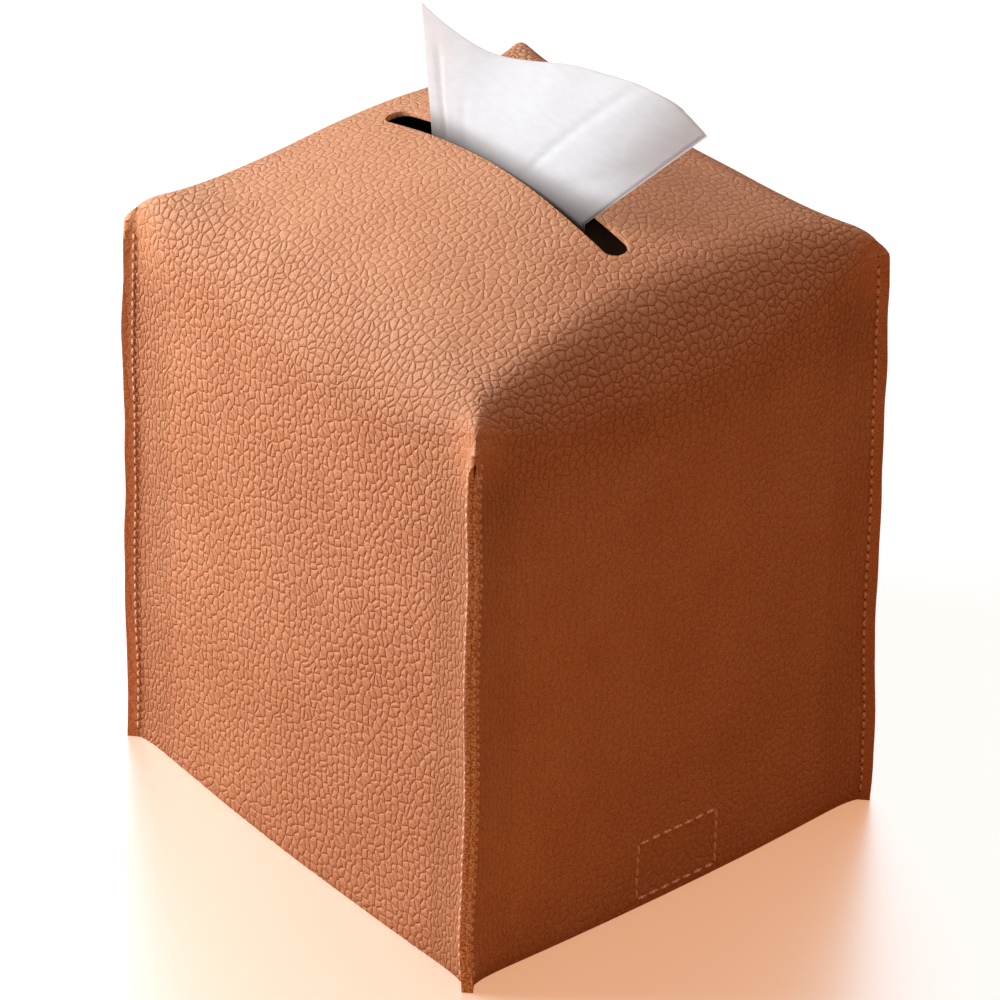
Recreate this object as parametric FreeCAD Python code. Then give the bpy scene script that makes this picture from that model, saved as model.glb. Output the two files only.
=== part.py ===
import FreeCAD, Part
import math
import os

# A soft leather cover for a cube carton of tissues, with the carton, the tissues and the strap that
# holds them in. Millimetres, +Z up, origin at the middle of the base. The slot runs along X, and the
# strap crosses under the carton from the -X wall to the +X wall.

# Leather sheet and cover
sheet_thick = 1.3
cover_height = 156.0
roll_radius = 17.0        # roll from top to wall over the middle of an edge
corner_roll_radius = 4.0  # what it tapers to at the corners
roll_taper = 14.0         # length over which it tapers

# Slot in the top
slot_length = 81.0
slot_width = 6.6

# Corner seams
flange_reach = 1.8        # raw edge beyond the corner where the two walls meet
flange_drop = 5.0         # crown down to the flange's top end
flange_top_slope = 2.5    # the top end falls this much towards the raw edge
raw_edge_groove = 0.25    # gap between the two sheets at the raw edge
raw_edge_groove_depth = 0.6
stitch_from_edge = 2.2    # seam line in from the raw edge
seam_pitch = 3.0
stitch_length = 2.2
thread_width = 0.55
thread_height = 0.3
seam_end_gap = 3.0        # seam line's end from each end of the flange

# Strap, its patches and their stitching
strap_width = 28.0
strap_thick = 1.3
strap_end_height = 21.0   # top of the turned-up end and of the sewn end
strap_bend_radius = 2.0
patch_width = 28.0
patch_height = 19.6
patch_foot = 1.2          # patch above the base
loop_thick = 1.0
hook_thick = 0.9
hook_foot = 3.2
hook_height = 16.8
patch_stitch_margin = 2.0
patch_pitch = 3.4

# Refill carton, film, stack and tissue
carton_side = 109.0
carton_height = 130.0
board_thick = 0.5
flap_gap = 0.6            # between the two outer bottom flaps
opening_length = 84.0
opening_width = 40.0
film_length = 98.0
film_width = 54.0
film_thick = 0.15
slit_length = 68.0
slit_width = 4.4
stack_length = 104.0
stack_width = 106.0
stack_height = 105.0
stack_shoulder = 34.0     # round of the folded stack's two top edges
leaf_thick = 1.2          # the folded tissue's leaves together
tissue_left = -26.0       # the tissue's two sides in the slot
tissue_right = 27.0

# Clearances
carton_ease = 6.1         # carton to a wall's inner face, which holds the strap's fastened end
moving_gap = 0.3          # soft pieces of different bodies
seat_gap = 0.02           # thread on leather

wall_inside = carton_side / 2 + carton_ease     # centre to a wall's inner face
wall_half = wall_inside + sheet_thick           # centre to its outer face
vec = FreeCAD.Vector


def box(x0, x1, y0, y1, z0, z1):
    return Part.makeBox(x1 - x0, y1 - y0, z1 - z0, vec(x0, y0, z0))


def stadium(length, width, z0, z1):
    """A block with round ends, long along X."""
    straight = (length - width) / 2
    block = box(-straight, straight, -width / 2, width / 2, z0, z1)
    for end in (-straight, straight):
        block = block.fuse(Part.makeCylinder(width / 2, z1 - z0, vec(end, 0, z0)))
    return block.removeSplitter()


def turned(shape, degrees):
    """A copy turned about Z."""
    copy = shape.copy()
    copy.rotate(vec(0, 0, 0), vec(0, 0, 1), degrees)
    return copy


def roll_section(y, side, top, radius):
    """Cuts a round of that radius along the edge between the +X side and the top, at that y."""
    beyond = sheet_thick
    middle = radius * math.sqrt(0.5)
    start, end = vec(side - radius, y, top), vec(side, y, top - radius)
    arc = Part.Arc(start, vec(side - radius + middle, y, top - radius + middle), end).toShape()
    corners = [end, vec(side + beyond, y, top - radius), vec(side + beyond, y, top + beyond),
               vec(side - radius, y, top + beyond), start]
    return Part.Wire([arc] + Part.makePolygon(corners).Edges)


def rolled_block(side, foot, top, stations):
    """A square block with its top edges rolled, by (distance along the edge, radius) stations."""
    block = box(-side, side, -side, side, foot, top)
    for quarter in range(4):
        sections = [roll_section(y, side, top, radius) for y, radius in stations]
        block = block.cut(turned(Part.makeLoft(sections, True, True), 90 * quarter))
    return block


corner_out = wall_half * math.sqrt(2)           # diagonal distance of a corner
flange_tip = corner_out + flange_reach
flange_root = corner_out - 2 * sheet_thick
flange_top = cover_height - flange_drop


def flange():
    """The two sheets that stand out along +X at a corner, before they are turned to it."""
    profile = [
        vec(flange_root, -sheet_thick, 0),
        vec(flange_tip, -sheet_thick, 0),
        vec(flange_tip, -sheet_thick, flange_top - flange_top_slope),
        vec(corner_out, -sheet_thick, flange_top),
        vec(flange_root, -sheet_thick, flange_top),
    ]
    plate = Part.Face(Part.makePolygon(profile + profile[:1])).extrude(vec(0, 2 * sheet_thick, 0))
    half_gap = raw_edge_groove / 2
    groove = box(flange_tip - raw_edge_groove_depth, flange_tip, -half_gap, half_gap, 0, flange_top)
    return plate.cut(groove)


def leather_shell():
    full_to = wall_half - roll_taper
    tapered = [(-wall_half, corner_roll_radius), (-full_to, roll_radius),
               (full_to, roll_radius), (wall_half, corner_roll_radius)]
    cover = rolled_block(wall_half, 0, cover_height, tapered)
    for quarter in range(4):
        cover = cover.fuse(turned(flange(), 45 + 90 * quarter))
    # Inside, the roll runs on into the corners, where the folded ends of the seams fill the taper.
    inner_roll = roll_radius - sheet_thick
    plain = [(-wall_inside, inner_roll), (wall_inside, inner_roll)]
    cover = cover.cut(rolled_block(wall_inside, -sheet_thick, cover_height - sheet_thick, plain))
    return cover.cut(stadium(slot_length, slot_width, cover_height - 2 * sheet_thick, cover_height + 1))


def seam_thread():
    """The stitches on both sides of a flange that stands out along +X."""
    line = flange_tip - stitch_from_edge
    low, high = seam_end_gap, flange_top - flange_top_slope - seam_end_gap
    count = int((high - low) / seam_pitch)
    stitches = []
    for i in range(count):
        z = low + seam_pitch * i + (seam_pitch - stitch_length) / 2
        for side in (-1, 1):
            near = side * (sheet_thick + seat_gap)
            far = near + side * thread_height
            stitches.append(
                box(line - thread_width / 2, line + thread_width / 2,
                    min(near, far), max(near, far), z, z + stitch_length)
            )
    return stitches


def dashes(length):
    """Start of each stitch along a straight row of that length, centred on it."""
    count = int((length + patch_pitch - stitch_length) / patch_pitch)
    used = (count - 1) * patch_pitch + stitch_length
    return [-used / 2 + patch_pitch * i for i in range(count)]


def patch_stitches(place, width, height, foot):
    """A rectangle of stitches, each a bar that place(y0, y1, z0, z1) puts on its face."""
    half = width / 2 - patch_stitch_margin
    low, high = foot + patch_stitch_margin, foot + height - patch_stitch_margin
    bar = thread_width / 2
    stitches = []
    for y in dashes(2 * half):
        for z in (low, high):
            stitches.append(place(y, y + stitch_length, z - bar, z + bar))
    for start in dashes(high - low - stitch_length):
        z = (low + high) / 2 + start
        for y in (-half, half):
            stitches.append(place(y - bar, y + bar, z, z + stitch_length))
    return stitches


def on_wall(side):
    """Places a stitch on the outer face of the +X wall (side 1) or the -X wall (side -1)."""
    near = side * (wall_half + seat_gap)
    far = near + side * thread_height

    def place(y0, y1, z0, z1):
        return box(min(near, far), max(near, far), y0, y1, z0, z1)
    return place


# The strap turns about this axis, at the middle of its thickness, just inside the -X wall.
hinge_x = -(wall_inside - moving_gap - strap_thick / 2)
hinge_z = strap_thick / 2
# Its turned-up end is part of a drum round that axis, so that it draws out past the loop patch.
hook_out = wall_inside - loop_thick - moving_gap - hinge_x
strap_out = hook_out - hook_thick
strap_in = strap_out - strap_thick


def drum(r_in, r_out, width, z0, z1):
    """The part of a drum round the strap's axis that lies on its +X side, between two heights."""
    axis = vec(0, 1, 0)
    start = vec(hinge_x, -width / 2, hinge_z)
    ring = Part.makeCylinder(r_out, width, start, axis).cut(Part.makeCylinder(r_in, width, start, axis))
    return ring.common(box(0, hinge_x + r_out + 1, -width / 2, width / 2, z0, z1))


def bottom_strap():
    half = strap_width / 2
    foot = hinge_x + math.sqrt(strap_out**2 - hinge_z**2)
    heel = hinge_x + math.sqrt(strap_in**2 - (strap_thick - hinge_z) ** 2)
    run = box(hinge_x, (foot + heel) / 2, -half, half, 0, strap_thick)
    strap = run.fuse(drum(strap_in, strap_out, strap_width, 0, strap_end_height)).removeSplitter()
    bend = [e for e in strap.Edges if is_cross_edge(e, foot, 0)]
    strap = strap.makeFillet(strap_bend_radius, bend)
    crease = [e for e in strap.Edges if is_cross_edge(e, heel, strap_thick)]
    strap = strap.makeFillet(strap_bend_radius - strap_thick, crease)
    knuckle = Part.makeCylinder(strap_thick / 2, strap_width, vec(hinge_x, -half, hinge_z), vec(0, 1, 0))
    return strap.fuse(knuckle).removeSplitter()


def is_cross_edge(edge, x, z):
    """True for an edge that runs along Y at that x and z."""
    near = 0.01
    points = [v.Point for v in edge.Vertexes]
    return len(points) == 2 and all(abs(p.x - x) < near and abs(p.z - z) < near for p in points)


def on_strap_end(y0, y1, z0, z1):
    """Places a stitch on the carton side of the strap's turned-up end."""
    reach = math.sqrt(strap_in**2 - (z1 - hinge_z) ** 2)
    face = hinge_x + reach - seat_gap
    return box(face - thread_height, face, y0, y1, z0, z1)


carton_foot = strap_thick + moving_gap
carton_top = carton_foot + carton_height
stack_foot = carton_foot + 2 * board_thick
stack_top = stack_foot + stack_height


def refill_carton():
    half = carton_side / 2
    inside = half - board_thick
    blank = box(-half, half, -half, half, carton_foot, carton_top)
    blank = blank.makeFillet(board_thick, [e for e in blank.Edges if abs(e.tangentAt(0).z) > 0.9])
    carton = blank.cut(box(-inside, inside, -inside, inside, stack_foot, carton_top - board_thick))
    carton = carton.cut(stadium(opening_length, opening_width, carton_top - 2 * board_thick, carton_top + 1))
    gap = box(-inside, inside, -flap_gap / 2, flap_gap / 2, carton_foot, carton_foot + board_thick)
    return carton.cut(gap)


def carton_film():
    top = carton_top - board_thick
    half_length, half_width = film_length / 2, film_width / 2
    film = box(-half_length, half_length, -half_width, half_width, top - film_thick, top)
    return film.cut(stadium(slit_length, slit_width, top - 2 * film_thick, top + film_thick))


def tissue_stack():
    half_length, half_width = stack_length / 2, stack_width / 2
    stack = box(-half_length, half_length, -half_width, half_width, stack_foot, stack_top)
    shoulders = [
        e for e in stack.Edges
        if abs(e.tangentAt(0).x) > 0.9 and e.CenterOfMass.z > stack_top - 1
    ]
    return stack.makeFillet(stack_shoulder, shoulders)


# The crest of the standing tissue, from its left side to its right: x, y and height over the cover.
tissue_crest = [vec(-33, 4, 40), vec(-10, 7, 34), vec(22, 18, 36), vec(39, 25, 27)]


def popup_tissue():
    """A tongue in the slot that fans out over it in flat leaves, creased where they meet."""
    half = leaf_thick / 2
    left, right = vec(tissue_left, -half, cover_height), vec(tissue_right, -half, cover_height)
    tip, dip, shoulder, corner = [point + vec(0, -half, cover_height) for point in tissue_crest]
    tissue = box(tissue_left, tissue_right, -half, half, stack_top + moving_gap, cover_height)
    for leaf in ([left, tip, dip], [left, dip, right], [right, dip, shoulder], [right, shoulder, corner]):
        face = Part.Face(Part.makePolygon(leaf + leaf[:1]))
        tissue = tissue.fuse(face.extrude(vec(0, leaf_thick, 0)))
    return tissue


def save(name, shape):
    """Writes a sub-part, from one solid or a list of separate ones."""
    if isinstance(shape, list):
        shape = Part.makeCompound(shape)
    shape.exportStep("parts/" + name + ".step")
    print(name, "solids", len(shape.Solids), "valid", shape.isValid(), "volume", round(shape.Volume, 2))


os.makedirs("parts", exist_ok=True)

save("leather_shell", leather_shell())
seam_corners = {"back_right": 45, "back_left": 135, "front_left": 225, "front_right": 315}
for corner, angle in seam_corners.items():
    save("seam_thread_" + corner, [turned(stitch, angle) for stitch in seam_thread()])

loop_half = patch_width / 2
loop_face = wall_inside - loop_thick
save("loop_patch", box(loop_face, wall_inside, -loop_half, loop_half, patch_foot, patch_foot + patch_height))
save("loop_patch_thread", patch_stitches(on_wall(1), patch_width, patch_height, patch_foot))
root_half, root_foot = strap_width / 2, strap_thick + moving_gap
root_face = strap_thick - wall_inside
save("strap_root", box(-wall_inside, root_face, -root_half, root_half, root_foot, strap_end_height))
save("strap_root_thread", patch_stitches(on_wall(-1), patch_width, patch_height, patch_foot))
save("bottom_strap", bottom_strap())
save("hook_patch", drum(strap_out, hook_out, patch_width, hook_foot, hook_foot + hook_height))
save("hook_patch_thread", patch_stitches(on_strap_end, patch_width, hook_height, hook_foot))
save("refill_carton", refill_carton())
save("carton_film", carton_film())
save("tissue_stack", tissue_stack())
save("popup_tissue", popup_tissue())
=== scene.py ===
import math
import random

import bmesh
import bpy
from mathutils import Matrix, Vector, noise


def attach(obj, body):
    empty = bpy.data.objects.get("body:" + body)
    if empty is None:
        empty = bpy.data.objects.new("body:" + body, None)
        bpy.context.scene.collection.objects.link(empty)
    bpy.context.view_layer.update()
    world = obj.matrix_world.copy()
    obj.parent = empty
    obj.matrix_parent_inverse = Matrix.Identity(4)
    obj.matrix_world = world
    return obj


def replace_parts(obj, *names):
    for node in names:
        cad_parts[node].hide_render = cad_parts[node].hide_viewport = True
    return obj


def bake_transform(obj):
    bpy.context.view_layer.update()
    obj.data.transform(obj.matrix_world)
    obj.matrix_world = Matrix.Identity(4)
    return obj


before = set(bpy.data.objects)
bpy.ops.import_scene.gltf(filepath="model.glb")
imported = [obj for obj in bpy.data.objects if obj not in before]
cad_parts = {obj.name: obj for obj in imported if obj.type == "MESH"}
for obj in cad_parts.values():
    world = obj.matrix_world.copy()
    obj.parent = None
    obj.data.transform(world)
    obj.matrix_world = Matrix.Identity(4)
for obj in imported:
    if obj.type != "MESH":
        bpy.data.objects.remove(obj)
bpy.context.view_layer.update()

mm = 0.001
quarterTurn = math.pi / 2


def hexColor(code, alpha=1.0):
    # sRGB hex to the linear values that the shaders take
    channels = [int(code[i:i + 2], 16) / 255 for i in (1, 3, 5)]
    return [c / 12.92 if c <= 0.04045 else ((c + 0.055) / 1.055) ** 2.4 for c in channels] + [alpha]


def smooth(low, high, value):
    # 0 below low, 1 above high, and eased between them
    share = min(max((value - low) / (high - low), 0.0), 1.0)
    return share * share * (3 - 2 * share)


def mix(a, b, share):
    return a + (b - a) * share


def addNode(tree, kind, inputs=None, stops=(), **settings):
    # inputs are filled by name or number, with a value or with another node's socket
    # stops are a colour ramp's (place, grey or colour), eased from one to the next
    made = tree.nodes.new(kind)
    for name, value in settings.items():
        setattr(made, name, value)
    for name, value in (inputs or {}).items():
        if isinstance(value, bpy.types.NodeSocket):
            tree.links.new(value, made.inputs[name])
        else:
            made.inputs[name].default_value = value
    if stops:
        made.color_ramp.interpolation = "EASE"
        for place, color in stops[1:-1]:
            made.color_ramp.elements.new(place)
        for element, (place, color) in zip(made.color_ramp.elements, stops):
            element.position = place
            element.color = color if isinstance(color, list) else (color, color, color, 1)
    return made


def plug(tree, shader, sockets):
    for name, socket in sockets.items():
        tree.links.new(socket, shader.inputs[name])


def newMaterial(name, **settings):
    material = bpy.data.materials.new(name)
    material.use_nodes = True
    shader = material.node_tree.nodes["Principled BSDF"]
    for key, value in settings.items():
        shader.inputs[key.replace("_", " ").title().replace("Ior", "IOR")].default_value = value
    return material, material.node_tree, shader


def finishedPiece(name, bm, materials, body=None, smoothed=True):
    # millimetre mesh data becomes a piece in metres that rides on a body
    bm.transform(Matrix.Scale(mm, 4))
    mesh = bpy.data.meshes.new(name)
    bm.to_mesh(mesh)
    bm.free()
    mesh.polygons.foreach_set("use_smooth", [smoothed] * len(mesh.polygons))
    piece = bpy.data.objects.new(name, mesh)
    bpy.context.scene.collection.objects.link(piece)
    for material in materials:
        mesh.materials.append(material)
    if body:
        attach(piece, body)
    return piece


def leatherWall(piece, thickness, offset, rounding):
    # the sheet gets its thickness, its backing and its cut edges, and the edges are rounded a little
    wall = piece.modifiers.new("wall", "SOLIDIFY")
    wall.thickness, wall.offset = thickness * mm, offset
    wall.material_offset, wall.material_offset_rim = 1, 2
    edge = piece.modifiers.new("edge", "BEVEL")
    edge.width, edge.segments = rounding * mm, 2
    edge.limit_method, edge.angle_limit = "ANGLE", math.radians(66)
    return wall, edge


def placed(bm, columns, rows, place, *uvLayers):
    # a grid with c and r running from 0 to 1: place(c, r) gives a point, then its place in each uv layer
    made = bmesh.ops.create_grid(bm, x_segments=columns, y_segments=rows, size=1)["verts"]
    for v in made:
        v.co, *flat = place((v.co.x + 1) / 2, (v.co.y + 1) / 2)
        for loop in v.link_loops if uvLayers else ():
            for layer, uv in zip(uvLayers, flat):
                loop[layer].uv = uv


print("materials")

grain = {
    "pebble": 2.05,          # mm across a pebble
    "pull": 0.45,            # mm that the pebbles are pulled out of shape
    "pulls": 0.33,           # how many times in a mm that pull changes
    "depth": 0.56,           # mm from a pebble's top down to the crease
    "top": "#CA926B",
    "dark": "#C28760",
    # painted shade in the creases between the pebbles
    "crease": "#96552E",
    "rim": "#E6B294",        # painted highlights on the pebble rims
    "hole": "#8E5534",       # needle holes, painted darker for the shade inside each hole
    "roughness": 0.48,
}
stitch = {
    "length": 1.75, "width": 0.7, "height": 0.5,     # mm of thread that show above the leather
    "pitch": 2.6, "fromEdge": 2.6, "count": 55,
    "lowest": 2.4,                                   # mm up to the start of the lowest stitch
}


def leatherGrain(tree, place):
    # how far a point lies from the nearest crease between pebbles, in pebbles
    drift = addNode(tree, "ShaderNodeTexNoise", {"Vector": place, "Scale": grain["pulls"], "Detail": 2.0})
    centred = addNode(tree, "ShaderNodeVectorMath", {0: drift.outputs["Color"], 1: (0.5, 0.5, 0.5)},
                      operation="SUBTRACT")
    pulled = addNode(tree, "ShaderNodeVectorMath", {0: centred.outputs[0], "Scale": 2 * grain["pull"]},
                     operation="SCALE")
    moved = addNode(tree, "ShaderNodeVectorMath", {0: place, 1: pulled.outputs[0]}, operation="ADD").outputs[0]
    pebbles = addNode(tree, "ShaderNodeTexVoronoi",
                      {"Vector": moved, "Scale": 1 / grain["pebble"], "Randomness": 0.85},
                      voronoi_dimensions="2D", feature="DISTANCE_TO_EDGE")
    return pebbles.outputs["Distance"]


# faux leather, PU film embossed with a pebble grain: soft shine, with painted highlights on the pebble rims and painted
# shade in the creases
coverLeather, tree, shader = newMaterial("Embossed faux leather", roughness=grain["roughness"],
                                         specular_ior_level=0.42, sheen_weight=0.1, sheen_roughness=0.6,
                                         sheen_tint=hexColor("#FFE6D2"))
flatPlace = addNode(tree, "ShaderNodeUVMap", uv_map="flatPattern").outputs["UV"]
seamPlace = addNode(tree, "ShaderNodeUVMap", uv_map="seamPlace").outputs["UV"]
fade = addNode(tree, "ShaderNodeAttribute", attribute_name="grainDepth").outputs["Fac"]
reach = leatherGrain(tree, flatPlace)
clouds = addNode(tree, "ShaderNodeTexNoise", {"Vector": flatPlace, "Scale": 0.05, "Detail": 3.0}).outputs["Fac"]
cloudShare = addNode(tree, "ShaderNodeValToRGB", {"Fac": clouds}, stops=((0.3, 0.0), (0.7, 1.0))).outputs["Color"]
surface = addNode(tree, "ShaderNodeMix", {0: cloudShare, 6: hexColor(grain["dark"]), 7: hexColor(grain["top"])},
                  data_type="RGBA").outputs[2]
# noise that breaks up the painted rim highlights and the painted crease shade
lineBreakup = addNode(tree, "ShaderNodeTexNoise", {"Vector": flatPlace, "Scale": 0.9, "Detail": 1.0}).outputs["Fac"]
# the creases are painted: where the film lies flat as pale, broken lines of painted highlight, where it is deep as dark
# lines of painted shade
deep = addNode(tree, "ShaderNodeValToRGB", {"Fac": fade}, stops=((0.55, 0.0), (0.9, 1.0))).outputs["Color"]
creaseColor = addNode(tree, "ShaderNodeMix", {0: deep, 6: hexColor(grain["rim"]), 7: hexColor(grain["crease"])},
                      data_type="RGBA").outputs[2]
broken = addNode(tree, "ShaderNodeMix", {0: deep, 6: lineBreakup, 7: (0.56, 0.56, 0.56, 1)}, data_type="RGBA").outputs[2]
creaseTone = addNode(tree, "ShaderNodeValToRGB", {"Fac": broken}, stops=((0.5, 0.0), (0.6, 0.6))).outputs["Color"]
rimTone = addNode(tree, "ShaderNodeValToRGB", {"Fac": lineBreakup}, stops=((0.42, 0.0), (0.62, 0.5))).outputs["Color"]
rimStops = ((0.05, 0.0), (0.135, 1.0), (0.22, 0.0))
creaseStops = ((0.0, 1.0), (0.045, 0.5), (0.09, 0.0))
# painted highlight lines along the pebble rims, and painted shade lines in the creases
for stops, tone, lineColor in ((rimStops, rimTone, hexColor(grain["rim"])), (creaseStops, creaseTone, creaseColor)):
    line = addNode(tree, "ShaderNodeValToRGB", {"Fac": reach}, stops=stops).outputs["Color"]
    for share in (fade, tone):
        line = addNode(tree, "ShaderNodeMath", {0: line, 1: share}, operation="MULTIPLY", use_clamp=True).outputs[0]
    surface = addNode(tree, "ShaderNodeMix", {0: line, 6: surface, 7: lineColor}, data_type="RGBA").outputs[2]
# fine specks at random, lighter in the rims' colour and darker in the creases' colour
fine = addNode(tree, "ShaderNodeTexNoise", {"Vector": flatPlace, "Scale": 2.8, "Detail": 2.0, "Roughness": 0.7})
fine = fine.outputs["Fac"]
for stops, speckColor in ((((0.5, 0.0), (0.64, 0.6)), grain["rim"]), (((0.36, 0.45), (0.5, 0.0)), grain["crease"])):
    specks = addNode(tree, "ShaderNodeValToRGB", {"Fac": fine}, stops=stops).outputs["Color"]
    surface = addNode(tree, "ShaderNodeMix", {0: specks, 6: surface, 7: hexColor(speckColor)},
                      data_type="RGBA").outputs[2]
# the seams' needle holes, painted as darker dots for the shade inside each hole, one at each end of every stitch
hole = addNode(tree, "ShaderNodeSeparateXYZ", {"Vector": seamPlace})
fromFirst = addNode(tree, "ShaderNodeMath", {0: hole.outputs["Y"], 1: stitch["lowest"]}, operation="SUBTRACT")
pitchShare = addNode(tree, "ShaderNodeMath", {0: fromFirst.outputs[0], 1: stitch["pitch"] / 2}, operation="PINGPONG")
acrossShare = addNode(tree, "ShaderNodeMath", {0: hole.outputs["X"], 1: stitch["fromEdge"]}, operation="SUBTRACT")
holePlace = addNode(tree, "ShaderNodeCombineXYZ", {"X": acrossShare.outputs[0], "Y": pitchShare.outputs[0]})
holeReach = addNode(tree, "ShaderNodeVectorMath", {0: holePlace.outputs[0]}, operation="LENGTH").outputs["Value"]
holeShare = addNode(tree, "ShaderNodeValToRGB", {"Fac": holeReach}, stops=((0.2, 1.0), (0.38, 0.0))).outputs["Color"]
surface = addNode(tree, "ShaderNodeMix", {0: holeShare, 6: surface, 7: hexColor(grain["hole"])},
                  data_type="RGBA").outputs[2]
# pebbles are domed, carry the fine print and shine more than the creases
domed = addNode(tree, "ShaderNodeValToRGB", {"Fac": reach}, stops=((0.0, 0.0), (0.16, 0.68), (0.3, 0.9), (0.5, 1.0)))
domed = domed.outputs["Color"]
shine = addNode(tree, "ShaderNodeValToRGB", {"Fac": domed}, stops=((0.0, 1.0), (0.7, grain["roughness"])))
finer = addNode(tree, "ShaderNodeMath", {0: fine, 1: 0.75, 2: domed}, operation="MULTIPLY_ADD").outputs[0]
faded = addNode(tree, "ShaderNodeMath", {0: finer, 1: fade}, operation="MULTIPLY").outputs[0]
relief = addNode(tree, "ShaderNodeBump", {"Strength": 1.0, "Distance": grain["depth"] * mm, "Height": faded})
plug(tree, shader, {"Base Color": surface, "Roughness": shine.outputs["Color"], "Normal": relief.outputs["Normal"]})

# knitted suede-like backing on the inside of the leather: matt, dark brown, with a fine nap
leatherBacking, tree, shader = newMaterial("Napped backing cloth", roughness=0.95, specular_ior_level=0.2,
                                           sheen_weight=0.3)
place = addNode(tree, "ShaderNodeTexCoord").outputs["Object"]
nap = addNode(tree, "ShaderNodeTexNoise", {"Vector": place, "Scale": 900.0, "Detail": 3.0}).outputs["Fac"]
browns = addNode(tree, "ShaderNodeValToRGB", {"Fac": nap},
                 stops=((0.35, hexColor("#3A2417")), (0.65, hexColor("#553722"))))
relief = addNode(tree, "ShaderNodeBump", {"Strength": 0.6, "Distance": 0.2 * mm, "Height": nap})
plug(tree, shader, {"Base Color": browns.outputs["Color"], "Normal": relief.outputs["Normal"]})

# cut edge of the leather: a film over pale fibres that show as specks, browner round the slot
rawEdge, tree, shader = newMaterial("Cut leather edge", roughness=0.8, specular_ior_level=0.25)
place = addNode(tree, "ShaderNodeTexCoord").outputs["Object"]
lip = addNode(tree, "ShaderNodeAttribute", attribute_name="slotLip").outputs["Fac"]
fibres = addNode(tree, "ShaderNodeTexNoise", {"Vector": place, "Scale": 2100.0, "Detail": 2.0}).outputs["Fac"]
seamEdge = addNode(tree, "ShaderNodeValToRGB", {"Fac": fibres},
                   stops=((0.4, hexColor("#B07F65")), (0.62, hexColor("#F0CDB8")))).outputs["Color"]
slotEdge = addNode(tree, "ShaderNodeValToRGB", {"Fac": fibres},
                   stops=((0.4, hexColor("#C07A50")), (0.65, hexColor("#E9B795")))).outputs["Color"]
edges = addNode(tree, "ShaderNodeMix", {0: lip, 6: seamEdge, 7: slotEdge}, data_type="RGBA").outputs[2]
relief = addNode(tree, "ShaderNodeBump", {"Strength": 0.5, "Distance": 0.2 * mm, "Height": fibres})
plug(tree, shader, {"Base Color": edges, "Normal": relief.outputs["Normal"]})

# spun polyester sewing thread, pale tan, twisted
sewingThread, tree, shader = newMaterial("Spun polyester thread", roughness=0.7, sheen_weight=0.3)
place = addNode(tree, "ShaderNodeTexCoord").outputs["Object"]
twist = addNode(tree, "ShaderNodeTexWave", {"Vector": place, "Scale": 520.0, "Distortion": 1.5},
                bands_direction="DIAGONAL").outputs["Fac"]
tans = addNode(tree, "ShaderNodeValToRGB", {"Fac": twist},
               stops=((0.0, hexColor("#D9A98A")), (1.0, hexColor("#F6DCC8"))))
relief = addNode(tree, "ShaderNodeBump", {"Strength": 0.5, "Distance": 0.08 * mm, "Height": twist})
plug(tree, shader, {"Base Color": tans.outputs["Color"], "Normal": relief.outputs["Normal"]})

# nylon loop tape: dense fuzzy pile, dark brown
loopPile, tree, shader = newMaterial("Nylon loop pile", roughness=0.9, sheen_weight=0.8, sheen_roughness=0.5)
place = addNode(tree, "ShaderNodeTexCoord").outputs["Object"]
curls = addNode(tree, "ShaderNodeTexVoronoi", {"Vector": place, "Scale": 1400.0, "Randomness": 1.0})
curls = curls.outputs["Distance"]
browns = addNode(tree, "ShaderNodeValToRGB", {"Fac": curls},
                 stops=((0.0, hexColor("#5A3320")), (0.7, hexColor("#2C170D"))))
relief = addNode(tree, "ShaderNodeBump", {"Strength": 1.0, "Distance": 0.35 * mm, "Height": curls}, invert=True)
plug(tree, shader, {"Base Color": browns.outputs["Color"], "Normal": relief.outputs["Normal"]})

# moulded nylon hooks on a woven tape: stiff and slightly glossy
hookNylon, tree, shader = newMaterial("Moulded nylon hooks", roughness=0.38)
place = addNode(tree, "ShaderNodeTexCoord").outputs["Object"]
weave = addNode(tree, "ShaderNodeTexBrick", {"Vector": place, "Scale": 900.0, "Color1": hexColor("#4A2B1B"),
                                             "Color2": hexColor("#3B2114"), "Mortar": hexColor("#24130B")})
plug(tree, shader, {"Base Color": weave.outputs["Color"]})

# unbleached kraft carton board: brown, kept darker as painted shade for the inside of the slot, slightly mottled, with
# faint fibres
cartonBoard, tree, shader = newMaterial("Kraft carton board, darkened as shade", roughness=0.55, specular_ior_level=0.4)
place = addNode(tree, "ShaderNodeTexCoord").outputs["Object"]
pulp = addNode(tree, "ShaderNodeTexNoise", {"Vector": place, "Scale": 160.0, "Detail": 5.0}).outputs["Fac"]
browns = addNode(tree, "ShaderNodeValToRGB", {"Fac": pulp},
                 stops=((0.3, hexColor("#5F442E")), (0.7, hexColor("#6E5038"))))
relief = addNode(tree, "ShaderNodeBump", {"Strength": 0.25, "Distance": 0.1 * mm, "Height": pulp})
plug(tree, shader, {"Base Color": browns.outputs["Color"], "Normal": relief.outputs["Normal"]})

# thin clear polypropylene film: glossy with faint ripples
clearFilm, tree, shader = newMaterial("Clear polypropylene film", roughness=0.08, transmission_weight=1.0, ior=1.49,
                                      base_color=hexColor("#F7FAFA"))
place = addNode(tree, "ShaderNodeTexCoord").outputs["Object"]
ripple = addNode(tree, "ShaderNodeTexNoise", {"Vector": place, "Scale": 60.0, "Detail": 1.0}).outputs["Fac"]
relief = addNode(tree, "ShaderNodeBump", {"Strength": 0.3, "Distance": 0.4 * mm, "Height": ripple})
plug(tree, shader, {"Normal": relief.outputs["Normal"]})

paper = {
    "low": "#DBDEE1", "high": "#DEE1E4",             # the crepe's hollows and ridges, the hollows painted a shade darker
    "atLip": "#7C7B7B",                              # painted shade of the sheet along the slot's lip
    "translucence": 0.5,
    "clearness": 0.88,                               # how much light its shadow lets through
}


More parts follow.
